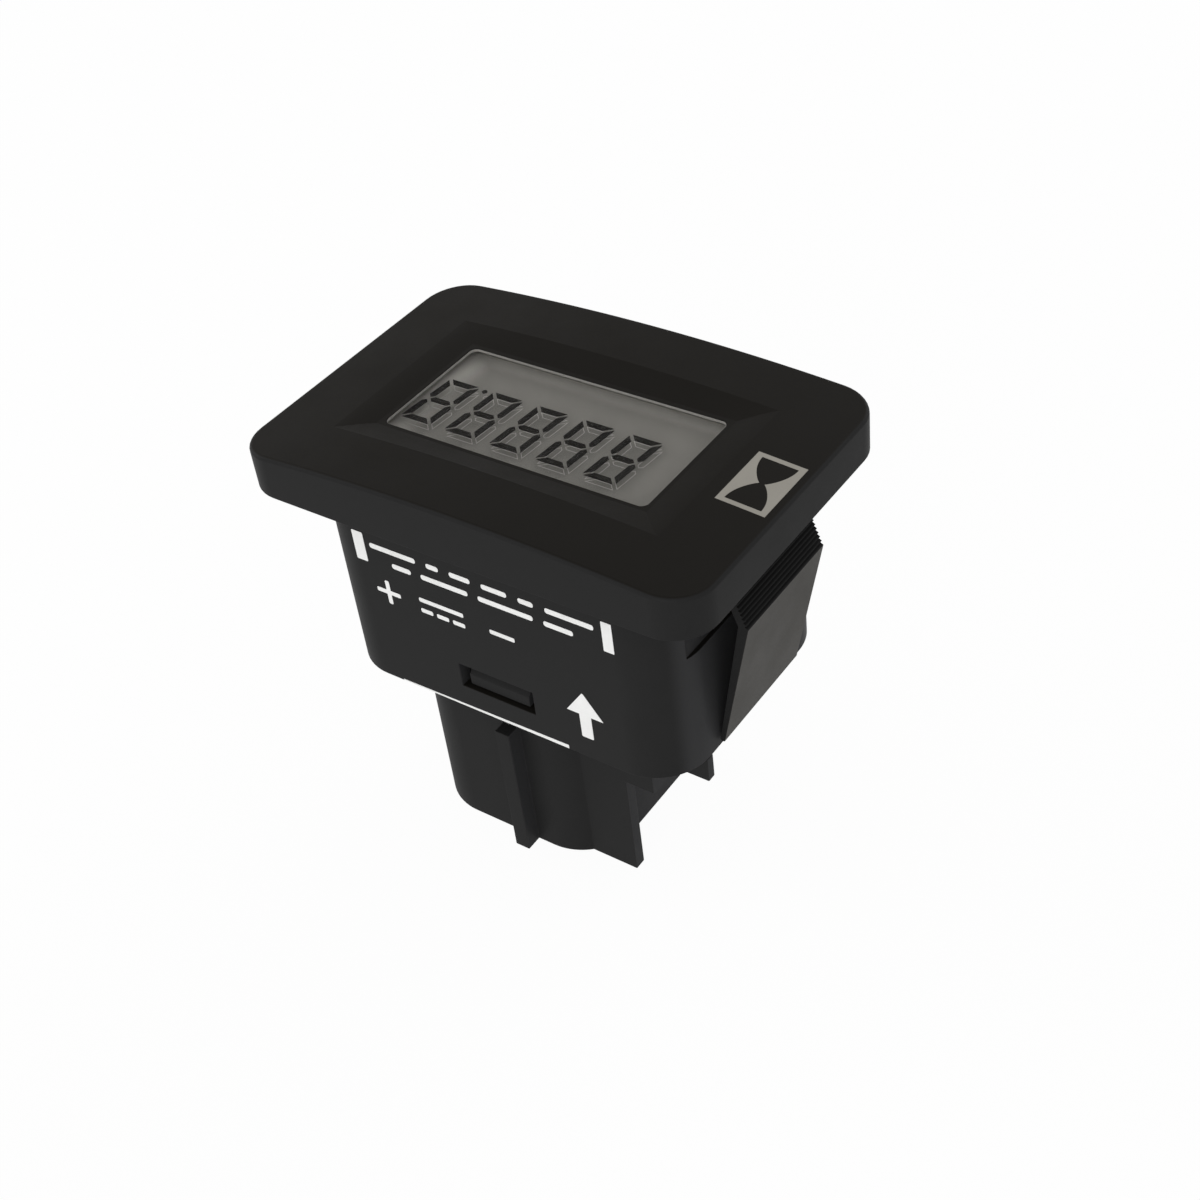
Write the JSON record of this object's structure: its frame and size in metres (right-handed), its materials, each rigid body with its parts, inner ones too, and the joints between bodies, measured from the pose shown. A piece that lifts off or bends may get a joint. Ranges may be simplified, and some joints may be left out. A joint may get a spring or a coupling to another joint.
{
  "type": "hour meter",
  "caption": "Snap-in panel hour meter with a crowned bezel, a liquid-crystal digit display, sprung side arms and a shrouded blade connector at the rear.",
  "frame": {"origin": "centre of the bezel's underside, in the plane of the panel that the meter is fixed to", "axes": "+X to the right along the row of digits, +Y to the top of the display, +Z out of the display"},
  "size_m": [0.0422, 0.0282, 0.04],
  "materials": {
    "case": "matte",
    "lens": "clear",
    "polariser": "satin",
    "display_glass": "clear",
    "segments": "matte",
    "rear_glass": "clear",
    "reflector": "satin",
    "holder": "matte",
    "zebra": "matte",
    "board": "satin",
    "chip": "matte",
    "can": "satin",
    "capacitor": "satin",
    "varistor": "satin",
    "resistor": "matte",
    "blade": "tin plated",
    "cover": "matte",
    "arm": "matte"
  },
  "bodies": {
    "housing": {"case": "case", "window_lens": "lens", "lcd_polariser": "polariser", "lcd_front_glass": "display_glass", "lcd_segments": "segments", "lcd_rear_glass": "rear_glass", "lcd_reflector": "reflector", "lcd_holder": "holder", "zebra_strip_front": "zebra", "zebra_strip_back": "zebra", "circuit_board": "board", "controller_chip": "chip", "memory_chip": "chip", "quartz_crystal": "can", "filter_capacitor": "capacitor", "varistor": "varistor", "supply_diode": "chip", "chip_resistors": "resistor", "terminal_blade_positive": "blade", "terminal_blade_negative": "blade", "rear_cover": "cover"},
    "left_arm": {"snap_arm_left": "arm"},
    "right_arm": {"snap_arm_right": "arm"}
  },
  "joints": [
    {"name": "left_arm_flex", "type": "hinge", "parent": "housing", "child": "left_arm", "pos_m": [-0.01715, 0, -0.0174], "axis": [0, 1, 0], "range_deg": [0, 8], "stiffness_Nm_per_rad": 0.05},
    {"name": "right_arm_flex", "type": "hinge", "parent": "housing", "child": "right_arm", "pos_m": [0.01715, 0, -0.0174], "axis": [0, -1, 0], "range_deg": [0, 8], "stiffness_Nm_per_rad": 0.05}
  ]
}
